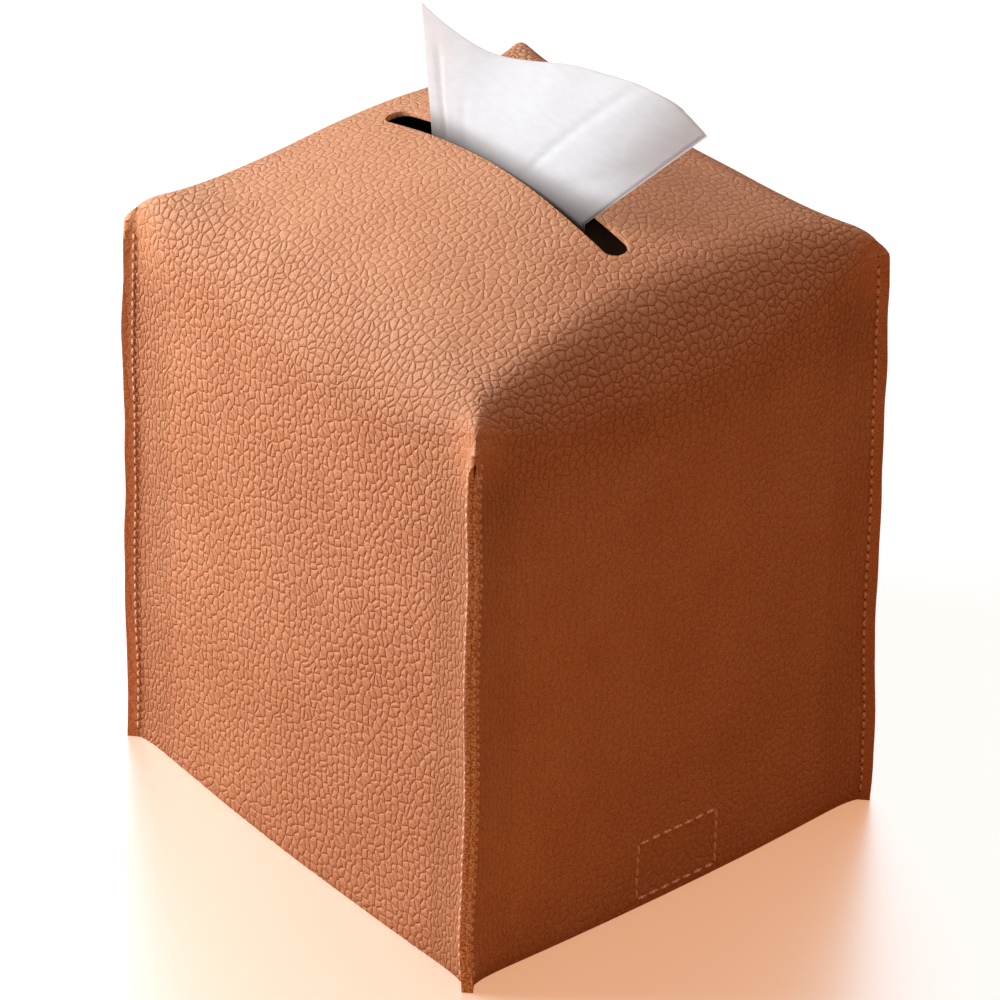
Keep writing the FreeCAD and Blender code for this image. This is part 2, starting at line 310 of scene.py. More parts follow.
def tissuePaper(name, shaded):
    # soft creped tissue paper: matt white, lets light through, fine crepe lines
    material, tree, shader = newMaterial(name, roughness=0.9, specular_ior_level=0.1)
    place = addNode(tree, "ShaderNodeTexCoord").outputs["Object"]
    stretched = addNode(tree, "ShaderNodeMapping", {"Vector": place, "Scale": (0.35, 0.35, 1.0)}).outputs["Vector"]
    crepe = addNode(tree, "ShaderNodeTexNoise", {"Vector": stretched, "Scale": 900.0, "Detail": 3.0}).outputs["Fac"]
    white = addNode(tree, "ShaderNodeValToRGB", {"Fac": crepe},
                    stops=((0.35, hexColor(paper["low"])), (0.65, hexColor(paper["high"])))).outputs["Color"]
    if shaded:
        # painted shade along the slot's lip
        lipShade = addNode(tree, "ShaderNodeAttribute", attribute_name="lipShade").outputs["Fac"]
        white = addNode(tree, "ShaderNodeMix", {0: lipShade, 6: white, 7: hexColor(paper["atLip"])},
                        data_type="RGBA").outputs[2]
    relief = addNode(tree, "ShaderNodeBump", {"Strength": 0.12, "Distance": 0.1 * mm, "Height": crepe})
    plug(tree, shader, {"Base Color": white, "Normal": relief.outputs["Normal"]})
    through = addNode(tree, "ShaderNodeBsdfTranslucent", {"Color": white, "Normal": relief.outputs["Normal"]})
    both = addNode(tree, "ShaderNodeMixShader",
                   {0: paper["translucence"], 1: shader.outputs[0], 2: through.outputs[0]})
    shadowRay = addNode(tree, "ShaderNodeLightPath").outputs["Is Shadow Ray"]
    share = addNode(tree, "ShaderNodeMath", {0: shadowRay, 1: paper["clearness"]}, operation="MULTIPLY").outputs[0]
    clear = addNode(tree, "ShaderNodeBsdfTransparent")
    lit = addNode(tree, "ShaderNodeMixShader", {0: share, 1: both.outputs[0], 2: clear.outputs[0]})
    plug(tree, tree.nodes["Material Output"], {"Surface": lit.outputs[0]})
    return material


drawnTissue = tissuePaper("Creped tissue, drawn out", True)
stackTissue = tissuePaper("Creped tissue, folded", False)

print("leather cover")

cover = {
    "half": 60.0,            # mm from the middle to the wall near its ends
    "corner": 61.3,          # mm to the corner of the top
    "fullness": 2.4,         # how far a wall swells in its middle
    "level": 155.4,          # height of the top beside its rolled edges
    "dome": 12.0,            # how far the drawn tissue lifts the middle of the top
    "domeReach": 62.0,       # mm from the middle to where that lift ends
    "roll": (3.6, 17.0),     # top edge radius at a corner and in the middle of a side
    "flatShare": 0.62,       # share of the grid that the flat part of the top takes
    "slot": (40.4, 3.3),     # half length and half width of the slot
    "slotShift": (-1.5, 2.6),                        # mm that the tissue has pushed the slot aside
    "slotPush": (52.0, 34.0),                        # mm over which that fades, along and across the slot
    "seamRoot": 86.0, "seamTip": 88.9,               # mm along the diagonal to where a seam starts and ends
    "seamHalf": 1.32,        # half the thickness of the two sheets of a seam
    "waver": (0.3, 14.0),    # mm that a cut edge wavers, and over how many
    "slope": 4.2,            # mm down over which the leather slopes out to the seam's top end
    # mm that the left, front, right and back corner stand from square, at the top and at the foot
    "topLean": ((-0.6, 3.1, 0.8), (-0.1, -0.1, 0.2), (1.7, -2.0, 3.2), (-0.1, -0.1, -0.2)),
    "footLean": ((-5.0, 3.6, 0), (-1.2, 0.2, 0), (5.5, -3.0, 0), (0, 0, 0)),
    "width": 124.0, "leanHeight": 150.0,             # mm over which the leans go from one corner to the next
    # slow dents: mm across, mm deep, and where in the noise they start
    "dents": ((42, 0.9, (7.1, 3.3, 1.9)), (17, 0.28, (1.7, 8.2, 4.4))),
    "thickness": 1.3,
    "rounding": 0.22,        # mm by which the cut edges are rounded
    "pebbleHeight": 0.8,     # below 1 the pebbles of a wall are taller than wide
    "pressed": (48.0, 0.5),  # mm from a wall's middle to where its pebbles narrow, and by how much
    "topGrain": 0.5,         # how much flatter the film lies on the stretched top
    "rightGrain": 0.42,      # how much flatter the grain is drawn on the right wall, which is in shade
    "columns": 80, "rings": 42, "rows": 54,
}


def edgeReach(place):
    # mm from the middle to a wall, at a place along it
    t = min(abs(place) / cover["corner"], 1)
    return cover["half"] + cover["fullness"] * (1 - t * t) + (cover["corner"] - cover["half"]) * t ** 14


def edgeRadius(place):
    low, high = cover["roll"]
    return low + (high - low) * (1 - min(abs(place) / cover["corner"], 1) ** 3)


def rolled(share, place):
    # place along one direction, its drop over the roll, and its place on the flat pattern
    reach, radius = edgeReach(place), edgeRadius(place)
    if abs(share) <= cover["flatShare"]:
        along = abs(share) / cover["flatShare"] * (reach - radius)
        return math.copysign(along, share), 0.0, math.copysign(along, share)
    # towards the corner the roll stops half way round, where the leather slopes on to the seam
    angle = (abs(share) - cover["flatShare"]) / (1 - cover["flatShare"]) * quarterTurn
    angle *= 1 - 0.42 * min(abs(place) / cover["corner"], 1) ** 14
    along, flatAlong = reach - radius + radius * math.sin(angle), reach - radius + radius * angle
    return math.copysign(along, share), radius * (1 - math.cos(angle)), math.copysign(flatAlong, share)


def topPoint(a, b):
    # a and b run from -1 to 1 over the top and its rolls; each roll depends on the other, so they settle in turns
    x, y = a * 52.0, b * 52.0
    for _ in range(7):
        x, y = 0.3 * x + 0.7 * rolled(a, y)[0], 0.3 * y + 0.7 * rolled(b, x)[0]
    x, dropX, u = rolled(a, y)
    y, dropY, v = rolled(b, x)
    swell = max(1 - (x / cover["domeReach"]) ** 2, 0) * max(1 - (y / cover["domeReach"]) ** 2, 0) ** 1.3
    return Vector((x, y, cover["level"] + cover["dome"] * swell - dropX - dropY)), (u, v)


def dent(place):
    # noise at three places apart, one for each direction
    return Vector([noise.noise(place + Vector((apart, 2 * apart, -apart))) for apart in (0, 13.7, 29.3)])


def settle(point):
    # leans and slow dents of soft leather, the same for everything that lies on it
    x, y, z = point
    acrossX = min(max(x / cover["width"] + 0.5, 0), 1)
    acrossY = min(max(y / cover["width"] + 0.5, 0), 1)
    height = z / cover["leanHeight"]
    moved = Vector(point)
    for share, lean in ((height, cover["topLean"]), (1 - height, cover["footLean"])):
        left, front, right, back = (Vector(corner) for corner in lean)
        moved += left.lerp(front, acrossX).lerp(back.lerp(right, acrossX), acrossY) * share
    pushX, pushY = cover["slotPush"]
    near = math.exp(-(x / pushX) ** 2 - (y / pushY) ** 2) * smooth(125, 150, z)
    moved += Vector((*cover["slotShift"], 0)) * near
    # both sheets of a seam move as one
    diagonal = (abs(x) + abs(y)) / 2
    seam = Vector((math.copysign(diagonal, x), math.copysign(diagonal, y), z))
    place = Vector(point).lerp(seam, smooth(58, 60.5, min(abs(x), abs(y))))
    shift = Vector()
    for across, depth, start in cover["dents"]:
        shift += dent(place / across + Vector(start)) * depth
    # less up and down, and none at the foot, which stands on the table
    shift.z *= 0.6 * smooth(0, 12, z)
    return moved + shift * smooth(-4, 9, z)


def sidePlace(share):
    # grid share 0 to 1 along a side gives its place from -1 to 1, closer together near the corners
    t = 2 * share - 1
    run = abs(t) * 0.4 + 0.6 * math.sin(abs(t) * quarterTurn)
    flatRun = cover["corner"] - cover["roll"][0]
    turned = cover["roll"][0] * quarterTurn
    reach = run * (flatRun + turned)
    if reach <= flatRun:
        b = cover["flatShare"] * reach / flatRun
    else:
        b = cover["flatShare"] + (1 - cover["flatShare"]) * (reach - flatRun) / turned
    return math.copysign(min(b, 1.0), t)


def ringShare(c, r):
    # from the slot's outline (r = 0) out to the square border (r = 1)
    side, along = divmod(c * 4, 1)
    side = int(side) % 4
    t = sidePlace(along)
    halfLong, halfWide = cover["slot"]
    straight = halfLong - halfWide
    flatX = (edgeReach(0) - edgeRadius(0)) / cover["flatShare"]
    border = [(1, t), (-t, 1), (-1, -t), (t, -1)][side]
    if side % 2 == 0:
        swing = t * quarterTurn
        outward = 1 if side == 0 else -1
        inner = ((straight + halfWide * math.cos(swing)) * border[0], halfWide * math.sin(swing) * outward)
    else:
        inner = (straight * border[0], halfWide * border[1])
    share = r ** 1.15
    return mix(inner[0] / flatX, border[0], share), mix(inner[1] / flatX, border[1], share)


def quarter(point, side):
    # turns a point of the +X wall to the wall of that side
    x, y, z = point
    return Vector([(x, y, z), (-y, x, z), (-x, -y, z), (y, -x, z)][side])


seamY = (cover["seamRoot"] - cover["seamHalf"]) / math.sqrt(2)
seamX = (cover["seamRoot"] + cover["seamHalf"]) / math.sqrt(2)
topCorner = topPoint(1.0, 1.0)[0]


def lowWall(y):
    # the wall below its top edge: full in the middle, flaring into the pinched seam at its ends
    return edgeReach(y * 0.93) + (seamX - edgeReach(seamY * 0.93)) * math.exp(-(seamY - abs(y)) / 3.2)


def wallPlace(share, depthShare):
    b = sidePlace(share)
    top, (u, v) = topPoint(1.0, b)
    z = top.z * (1 - depthShare ** 1.6)
    depth = top.z - z
    y = top.y * mix(1.0, seamY / topCorner.y, smooth(0, 4, depth))
    x = mix(top.x, lowWall(y), smooth(0, 5, depth))
    # pebbles are taller than wide on a wall, and narrower still beside a seam
    run = mix(v, y, smooth(0, 5, depth))
    pressedFrom, pressedBy = cover["pressed"]
    crowded = pressedBy * math.copysign(max(abs(run) - pressedFrom, 0.0), run) * smooth(2, 20, depth)
    return Vector((x, y, z)), (u + cover["pebbleHeight"] * depth, run + crowded)


def flangePlace(end, outward, depthShare):
    # the pinched edge of one wall, from the seam out to the cut edge: closed over at the top, open below
    root, (u, v) = wallPlace(0.5 + 0.5 * end, depthShare)
    depth = topCorner.z - root.z
    rootReach, rootOffset = (root.x + abs(root.y)) / math.sqrt(2), (root.x - abs(root.y)) / math.sqrt(2)
    waverDepth, waverLength = cover["waver"]
    waver = waverDepth * noise.noise(Vector((root.z / waverLength, 5.0, 2.0))) * smooth(4, 20, depth)
    sloped = math.sin(min(depth / cover["slope"], 1.0) * quarterTurn)
    tip = mix(topCorner.x * math.sqrt(2), cover["seamTip"], sloped) + waver
    reach = mix(rootReach, tip, outward)
    turnIn = min(max((reach - tip + cover["seamHalf"]) / cover["seamHalf"], 0.0), 1.0)
    closed = 1 - smooth(cover["slope"] + 0.2, cover["slope"] + 3.5, depth)
    offset = rootOffset * mix(1.0, math.sqrt(max(1 - turnIn ** 2, 0.0)), closed)
    point = Vector(((reach + offset) / math.sqrt(2), (reach - offset) / math.sqrt(2) * end, root.z))
    return point, (u, v + end * (reach - rootReach)), (tip - reach, point.z)


bm = bmesh.new()
flatLayer = bm.loops.layers.uv.new("flatPattern")
seamLayer = bm.loops.layers.uv.new("seamPlace")
farAway = (60.0, 60.0)       # seam place of what is nowhere near a seam
placed(bm, 4 * cover["columns"], cover["rings"], lambda c, r: (*topPoint(*ringShare(c, r)), farAway),
       flatLayer, seamLayer)
for side in range(4):

    def turned(point, flat, seam=farAway, side=side):
        u, v = flat
        return quarter(point, side), [(u, v), (-v, u), (-u, -v), (v, -u)][side], seam

    placed(bm, cover["columns"], cover["rows"], lambda c, r: turned(*wallPlace(c, r)), flatLayer, seamLayer)
    for end in (-1, 1):
        placed(bm, 6, cover["rows"], lambda c, r: turned(*flangePlace(end, c ** 0.6, r)), flatLayer, seamLayer)
bmesh.ops.remove_doubles(bm, verts=bm.verts, dist=0.004)
bmesh.ops.recalc_face_normals(bm, faces=bm.faces)
highest = max(bm.faces, key=lambda face: face.calc_center_median().z)
if highest.normal.z < 0:
    bmesh.ops.reverse_faces(bm, faces=bm.faces)
grainLayer = bm.verts.layers.float.new("grainDepth")
lipLayer = bm.verts.layers.float.new("slotLip")
thinLayer = bm.verts.layers.deform.verify()
for v in bm.verts:
    x, y, z = v.co
    diagonal = (abs(x) + abs(y)) / math.sqrt(2)
    # where the two sheets of a corner close over, there is only room for a thin wall
    room = min(abs(abs(x) - abs(y)) / math.sqrt(2) / cover["seamHalf"], 1.0)
    v[thinLayer][0] = mix(1.0, max(room, 0.04), smooth(83.5, 85.5, diagonal) * smooth(141, 144, z))
    # the film lies flatter at the corners and on the seams and on the stretched top; on the right wall, which is in
    # shade, the grain is drawn flatter too and its painted creases turn pale
    nearCorner = smooth(76, 86, diagonal) * smooth(128, 146, z)
    v[grainLayer] = 1.0 - 0.75 * nearCorner - 0.7 * smooth(86.4, 87.2, diagonal)
    v[grainLayer] *= 1.0 - cover["topGrain"] * smooth(148, 152, z) * (1 - smooth(42, 56, max(abs(x), abs(y))))
    v[grainLayer] *= 1.0 - cover["rightGrain"] * smooth(57, 60, x) * (1 - smooth(112, 140, z))
    v[lipLayer] = smooth(142, 146, z) * (1 - smooth(60, 70, diagonal))
    v.co = settle(v.co)
coverShell = finishedPiece("coverShell", bm, [coverLeather, leatherBacking, rawEdge], "cover")
wall, edge = leatherWall(coverShell, cover["thickness"], -1, cover["rounding"])
wall.use_quality_normals = True
coverShell.vertex_groups.new(name="wallShare")
wall.vertex_group = "wallShare"
edge.material = -1
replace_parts(coverShell, "leather_shell")

print("seams and stitched patches")

bm = bmesh.new()
bmesh.ops.create_uvsphere(bm, u_segments=8, v_segments=6, radius=0.5)
bead = bpy.data.meshes.new("bead")
bm.to_mesh(bead)
bm.free()


def addStitch(bm, place, along, outward, length=None):
    # one flattened bead of thread, with its ends going down into the leather
    along, outward = along.normalized(), outward.normalized()
    across = along.cross(outward).normalized()
    size = (stitch["height"] * 2, stitch["width"], length or stitch["length"])
    turn = Matrix((outward, across, along)).transposed().to_4x4()
    made = bead.copy()
    made.transform(Matrix.Translation(place) @ turn @ Matrix.Diagonal((*size, 1)))
    bm.from_mesh(made)
    bpy.data.meshes.remove(made)


def stitchedRectangle(halfWide, halfHigh, pitch):
    # each stitch of a sewn rectangle: its place across and up, and whether it lies across
    for across, far in ((True, -1), (True, 1), (False, -1), (False, 1)):
        length = 2 * (halfWide if across else halfHigh)
        count = round(length / pitch)
        for i in range(count):
            run = (i + 0.5) * length / count - length / 2
            yield (run, far * halfHigh, across) if across else (far * halfWide, run, across)


bm = bmesh.new()
seamStep = cover["seamTip"] - cover["seamRoot"] - stitch["fromEdge"]
for side in range(4):
    for end in (-1, 1):
        for i in range(stitch["count"]):
            root = Vector((seamX, seamY * end, stitch["lowest"] + stitch["pitch"] * (i + 0.5)))
            point = quarter(root + Vector((1, end, 0)) * seamStep / math.sqrt(2), side)
            addStitch(bm, settle(point), Vector((0, 0, 1)), quarter(Vector((1, -end, 0)), side))
seamStitches = finishedPiece("seamStitches", bm, [sewingThread], "cover")
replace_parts(seamStitches, *[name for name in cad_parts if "seam_thread" in name])

patch = {
    "half": (12.0, 7.8),     # mm from the middle of the rectangle to its stitches, across and up
    "shift": 1.6,            # mm that it is sewn off the wall's middle
    "middle": 10.1,          # mm above the foot
    "pitch": 3.4, "length": 2.6,
}
bm = bmesh.new()
for side in (0, 2):
    for y, z, lies in stitchedRectangle(*patch["half"], patch["pitch"]):
        point = quarter(Vector((lowWall(y), y + patch["shift"], patch["middle"] + z)), side)
        direction = quarter(Vector((0, 1, 0)), side) if lies else Vector((0, 0, 1))
        addStitch(bm, settle(point), direction, quarter(Vector((1, 0, 0)), side), patch["length"])
patchStitches = finishedPiece("patchStitches", bm, [sewingThread], "cover")
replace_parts(patchStitches, "loop_patch_thread", "strap_root_thread")

print("strap and its fastening")

strap = {
    "half": 14.0, "thickness": 1.3,
    "rootTop": 21.0, "endTop": 21.0,                 # mm up to the tops of its sewn end and its fastened end
    "hingeX": -59.65, "hingeZ": 0.65,
    "reach": 117.4,                                  # mm from the hinge to the fastened end
    "shorter": 8.2,          # mm that its flat part is shorter than the walls stand apart
    "bend": 2.4,                                     # radius of its two bends
    "ease": 0.06,                                    # mm between its sewn end and the wall
    "cornerRadius": 3.0,
    "rounding": 0.2,         # mm by which its cut edges are rounded
    "patternStart": 200.0,   # its place on the leather's pattern, away from the cover's
}


def strapPath(run):
    # the strap's middle line from the top of its sewn end, under the cover, up to its fastened end
    rootX = -(lowWall(0) - cover["thickness"] - strap["thickness"] / 2 - strap["ease"])
    low, bend = strap["hingeZ"], strap["bend"]
    firstRun = strap["rootTop"] - low - bend
    arc = bend * quarterTurn
    endX = strap["hingeX"] + strap["reach"]
    flatRun = endX - rootX - 2 * bend
    if run < firstRun:
        return Vector((rootX, 0, strap["rootTop"] - run))
    run -= firstRun
    if run < arc:
        a = run / bend
        return Vector((rootX + bend - bend * math.cos(a), 0, low + bend - bend * math.sin(a)))
    run -= arc
    if run < flatRun:
        return Vector((rootX + bend + run, 0, low))
    run -= flatRun
    if run < arc:
        a = run / bend
        return Vector((endX - bend + bend * math.sin(a), 0, low + bend - bend * math.cos(a)))
    # the fastened end lies on a drum about the hinge
    z = low + bend + run - arc
    lean = (z - low) / strap["reach"]
    return Vector((strap["hingeX"] + strap["reach"] * math.cos(lean), 0, z))


strapLength = (strap["rootTop"] - strap["hingeZ"] - strap["bend"] + 2 * strap["bend"] * quarterTurn
               + 2 * lowWall(0) - strap["shorter"] + strap["endTop"] - strap["hingeZ"] - strap["bend"])


def strapPlace(c, r):
    run = r * strapLength
    nearEnd, corner = min(run, strapLength - run), strap["cornerRadius"]
    narrowed = corner - math.sqrt(max(corner ** 2 - (corner - nearEnd) ** 2, 0)) if nearEnd < corner else 0.0
    point = strapPath(run) + Vector((0, (2 * c - 1) * (strap["half"] - narrowed), 0))
    return point, (c * 2 * strap["half"] + strap["patternStart"], run), farAway


bm = bmesh.new()
flatLayer = bm.loops.layers.uv.new("flatPattern")
seamLayer = bm.loops.layers.uv.new("seamPlace")
placed(bm, 12, 200, strapPlace, flatLayer, seamLayer)
grainLayer = bm.verts.layers.float.new("grainDepth")
for v in bm.verts:
    v[grainLayer] = 0.9
bmesh.ops.recalc_face_normals(bm, faces=bm.faces)
# the leather's grained side faces down
middle = min(bm.faces, key=lambda face: face.calc_center_median().length)
if middle.normal.z > 0:
    bmesh.ops.reverse_faces(bm, faces=bm.faces)
bottomStrap = finishedPiece("bottomStrap", bm, [coverLeather, leatherBacking, rawEdge], None)
leatherWall(bottomStrap, strap["thickness"], 0, strap["rounding"])
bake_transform(bottomStrap)
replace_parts(bottomStrap, "strap_root", "bottom_strap")

tape = {
    "loopSize": (28, 19.6, 1.0), "hookSize": (28, 16.8, 0.32),           # mm across, up and thick
    "loopMiddle": 11.0, "hookMiddle": 11.6,          # mm above the foot
    "corner": 2.0,                                   # radius of the cut corners
    "uneven": 0.12,                                  # mm that the pile rises and falls
    "hooks": (16, 9), "hookField": (24.8, 14.0),     # hooks across and up, and the mm that they fill
    "hookHeight": 0.55, "hookLean": 0.35,
    "stitches": (12.0, 6.4),                         # mm from the middle to the stitches, across and up
}


def tapePad(name, place, size, material, body, replaced):
    # a cut piece of tape with rounded corners: size is across, up and thick
    bm = bmesh.new()
    placed(bm, 28, 20, lambda c, r: (Vector((0, (2 * c - 1) * size[0] / 2, (2 * r - 1) * size[1] / 2)),))
    corner = tape["corner"]
    for v in bm.verts:
        overY = max(abs(v.co.y) - size[0] / 2 + corner, 0)
        overZ = max(abs(v.co.z) - size[1] / 2 + corner, 0)
        reach = math.hypot(overY, overZ)
        if reach > corner:
            v.co.y -= math.copysign(overY * (1 - corner / reach), v.co.y)
            v.co.z -= math.copysign(overZ * (1 - corner / reach), v.co.z)
    grown = bmesh.ops.extrude_face_region(bm, geom=bm.faces[:])["geom"]
    for v in [item for item in grown if isinstance(item, bmesh.types.BMVert)]:
        v.co.x += size[2]
        v.co.x += tape["uneven"] * noise.noise(v.co * 0.9)
    for v in bm.verts:
        v.co = place(v.co)
    bmesh.ops.recalc_face_normals(bm, faces=bm.faces)
    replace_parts(finishedPiece(name, bm, [material], body), replaced)


def onWall(p):
    # a flat point laid on the inside of the right wall: x is out from the wall, z is up
    return Vector((lowWall(0) - cover["thickness"] - 0.08 - p.x, p.y, tape["loopMiddle"] + p.z))


def onStrapEnd(p):
    # wraps a flat point round the drum of the fastened end: x is out from the strap, z is up
    lean = (tape["hookMiddle"] - strap["hingeZ"] + p.z) / strap["reach"]
    reach = strap["reach"] + strap["thickness"] / 2 + 0.02 + p.x
    return Vector((strap["hingeX"] + reach * math.cos(lean), p.y, strap["hingeZ"] + reach * math.sin(lean)))


tapePad("loopPatch", onWall, tape["loopSize"], loopPile, "cover", "loop_patch")
tapePad("hookTape", onStrapEnd, tape["hookSize"], hookNylon, "strap", "hook_patch")
bm = bmesh.new()
columns, rows = tape["hooks"]
fieldWide, fieldHigh = tape["hookField"]
for row in range(rows):
    for column in range(columns):
        y, z = -fieldWide / 2 + column * fieldWide / (columns - 1), -fieldHigh / 2 + row * fieldHigh / (rows - 1)
        made = bmesh.ops.create_cone(bm, cap_ends=True, segments=5, radius1=0.22, radius2=0.12,
                                     depth=tape["hookHeight"])["verts"]
        # the hooks bend over by turns to one side and the other
        lean = tape["hookLean"] * (1 if (row + column) % 2 else -1)
        for v in made:
            up = v.co.z + 0.27
            v.co = onStrapEnd(Vector((0.3 + up, y + v.co.y + lean * up * up, z + v.co.x)))
finishedPiece("hookRows", bm, [hookNylon], "strap")
bm = bmesh.new()
for y, z, lies in stitchedRectangle(*tape["stitches"], patch["pitch"]):
    inner = onStrapEnd(Vector((-strap["thickness"] - 0.04, y, z)))
    direction = Vector((0, 1, 0)) if lies else Vector((0, 0, 1))
    addStitch(bm, inner, direction, Vector((-1, 0, -0.1)), patch["length"])
strapStitches = finishedPiece("strapStitches", bm, [sewingThread], "strap")
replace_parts(strapStitches, "hook_patch_thread")

print("refill carton and tissues")

for node, material in (("refill_carton", cartonBoard), ("carton_film", clearFilm)):
    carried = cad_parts[node]
    carried.data.materials.clear()
    carried.data.materials.append(material)

stack = {
    "half": (51.8, 52.8),                            # mm from the middle to the stack's sides
    "foot": 2.65, "top": 107.5, "leaves": 58,
    "untidy": (0.25, 0.2),                           # mm that a leaf may lie out of line
}
random.seed(11)
bm = bmesh.new()
pitch = (stack["top"] - stack["foot"]) / stack["leaves"]
halfX, halfY = stack["half"]
for i in range(stack["leaves"]):
    made = bmesh.ops.create_cube(bm, size=1)["verts"]
    low = stack["foot"] + i * pitch
    foldSide = 1 if i % 2 else -1
    shift = Vector((*(random.uniform(-most, most) for most in stack["untidy"]), 0))
    for v in made:
        v.co = Vector((v.co.x * 2 * (halfX - 0.5), v.co.y * 2 * (halfY - 0.5), low + (v.co.z + 0.5) * pitch)) + shift
    folds = [e for e in {e for v in made for e in v.link_edges}
             if abs(e.verts[0].co.x - e.verts[1].co.x) > 50 and e.verts[0].co.y * foldSide > 0]
    bmesh.ops.bevel(bm, geom=folds, offset=pitch * 0.48, segments=3, profile=0.5, affect="EDGES", material=-1)
tissueStack = finishedPiece("tissueStack", bm, [stackTissue], "cover", smoothed=False)
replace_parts(tissueStack, "tissue_stack")

tissue = {
    "foot": 108.0, "slit": 131.0, "lip": 167.0,      # mm up to the stack, the film's slit and the slot
    "hang": 0.4,                                     # mm that the hidden part hangs behind the middle
    "hidden": (-25.0, 25.5), "atLip": (-24.9, 27.0),  # its two sides below the slot and in it
    "turn": Vector((8.6, -7.7, 7.9)),                # how far the drawn-out corner has turned to the front
    "panels": (0.44, 0.74),                          # where the gathered sheet turns back on itself
    "spread": (0.6, 1.2),                            # mm between its layers, in the slot and at the crest
    "belly": 1.3,                                    # mm that the drawn part swells to the front
    "thickness": 0.12,
    # shares of the width, then x, y and z of the crest in mm
    "crest": [(0.0, -33.8, 4.0, 196.2), (0.07, -28.5, 4.5, 193.7), (0.13, -23.3, 5.0, 192.4), (0.21, -17.5, 6.0, 190.9),
              (0.29, -11.3, 7.5, 190.0), (0.39, -3.6, 10.0, 190.9), (0.53, 6.4, 14.0, 192.7), (0.61, 12.3, 16.5, 192.4),
              (0.71, 19.9, 19.0, 192.2), (0.8, 26.0, 21.0, 191.3), (0.89, 32.7, 23.5, 188.7), (1.0, 39.7, 26.6, 182.0)],
    # soft folds: from and to, each in shares of width and height, then their width and depth
    "folds": [((0.09, 0.05), (0.075, 0.75), 0.017, 0.45), ((0.6, 0.14), (0.76, 1.0), 0.022, 0.26),
              ((0.8, 0.1), (0.98, 0.6), 0.05, 0.2), ((0.22, 0.05), (0.2, 0.5), 0.03, 0.25)],
}


def crestPoint(p):
    points = tissue["crest"]
    for (p0, *first), (p1, *second) in zip(points, points[1:]):
        if p <= p1:
            break
    return Vector(first).lerp(Vector(second), (p - p0) / (p1 - p0))


def crestSmooth(p):
    # a short running average rounds the line from point to point
    return sum((crestPoint(min(max(p + step * 0.02, 0), 1)) for step in range(-2, 3)), Vector()) / 5


def crease(p, q, first, last, width, depth):
    # a soft line from first to last, each (p, q), pressed back by depth
    line, here = Vector(last) - Vector(first), Vector((p, q)) - Vector(first)
    run = here.dot(line) / line.length_squared
    off = abs(here.cross(line)) / line.length
    return depth * math.exp(-(off / width) ** 2) * smooth(-0.15, 0.1, run) * (1 - smooth(0.85, 1.15, run))


def tissuePlace(c, r):
    # c runs along the gathered sheet and r up it; p is the place across, 0 to 1, of each of its three panels
    firstTurn, secondTurn = tissue["panels"]
    if c < firstTurn:
        p = c / firstTurn
    elif c < secondTurn:
        p = 1 - 0.86 * (c - firstTurn) / (secondTurn - firstTurn)
    else:
        p = 0.14 + 0.76 * (c - secondTurn) / (1 - secondTurn)
    layer = smooth(firstTurn - 0.008, firstTurn + 0.008, c) + smooth(secondTurn - 0.008, secondTurn + 0.008, c)
    gather = 0.3 * math.sin(c * 160) * (1 - smooth(0.3, 0.46, r))
    hiddenX = mix(*tissue["hidden"], p)
    foot = Vector((mix(*tissue["atLip"], p), 0.6, tissue["lip"] - 1.4 * (2 * p - 1) ** 2))
    if r < 0.27:
        x, y, z = hiddenX, tissue["hang"], mix(tissue["foot"], tissue["slit"], r / 0.27)
    elif r < 0.5:
        x, y, z = Vector((hiddenX, tissue["hang"], tissue["slit"])).lerp(foot, (r - 0.27) / 0.23)
    else:
        q = (r - 0.5) / 0.5
        high = crestSmooth(p) + tissue["turn"] * smooth(0.25, 1.0, p)
        # the layers behind stay hidden by the front one
        high.z -= layer * (2.0 - 1.3 * p)
        high.x -= layer * 1.6 * smooth(0.75, 1.0, p)
        point = foot.lerp(high, q)
        point.y -= tissue["belly"] * math.sin(q * math.pi) * math.sin(p * math.pi) ** 0.8
        if layer < 0.5:
            for fold in tissue["folds"]:
                point.y += crease(p, q, *fold)
        x, y, z = point
    spread = mix(*tissue["spread"], smooth(0.45, 1.0, r))
    return Vector((x, y + layer * spread + gather, z)),


bm = bmesh.new()
placed(bm, 220, 90, tissuePlace)
shadeLayer = bm.verts.layers.float.new("lipShade")
# painted shade: a grey band on the sheet from just below the slot's lip to a little above it
for v in bm.verts:
    above = v.co.z - tissue["lip"]
    v[shadeLayer] = smooth(-12, -3, above) * (1 - smooth(-2.5, 7, above))
popupTissue = finishedPiece("popupTissue", bm, [drawnTissue], "tissue")
ply = popupTissue.modifiers.new("ply", "SOLIDIFY")
ply.thickness, ply.offset = tissue["thickness"] * mm, 0
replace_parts(popupTissue, "popup_tissue")

print("floor, lights and camera")

table = {
    "shown": "#8C8C8C", "lighting": "#DC9B5D",       # its colour as seen, and as it lights the box
    # camera-only glow: painted warm colour of the box's reflection
    "glow": (0.6, 0.29, 0.15, 1),
    "mirror": (0.35, 0.64, 0.78, 1),                 # what its gloss adds in red, green and blue
    "blur": 0.33,
}
bm = bmesh.new()
bmesh.ops.create_grid(bm, x_segments=1, y_segments=1, size=3000)
# white gloss table: its gloss reflects the box's faces, fading away from them; a warm glow seen only by the camera
# paints the warmth of that reflection and, with the tinted gloss, makes the rest of the table white
glossTable, tree, shader = newMaterial("White gloss table", roughness=0.9, specular_ior_level=0.1)
seen = addNode(tree, "ShaderNodeLightPath").outputs["Is Camera Ray"]
tableColor = addNode(tree, "ShaderNodeMix", {0: seen, 6: hexColor(table["lighting"]), 7: hexColor(table["shown"])},
                     data_type="RGBA").outputs[2]
plug(tree, shader, {"Base Color": tableColor})
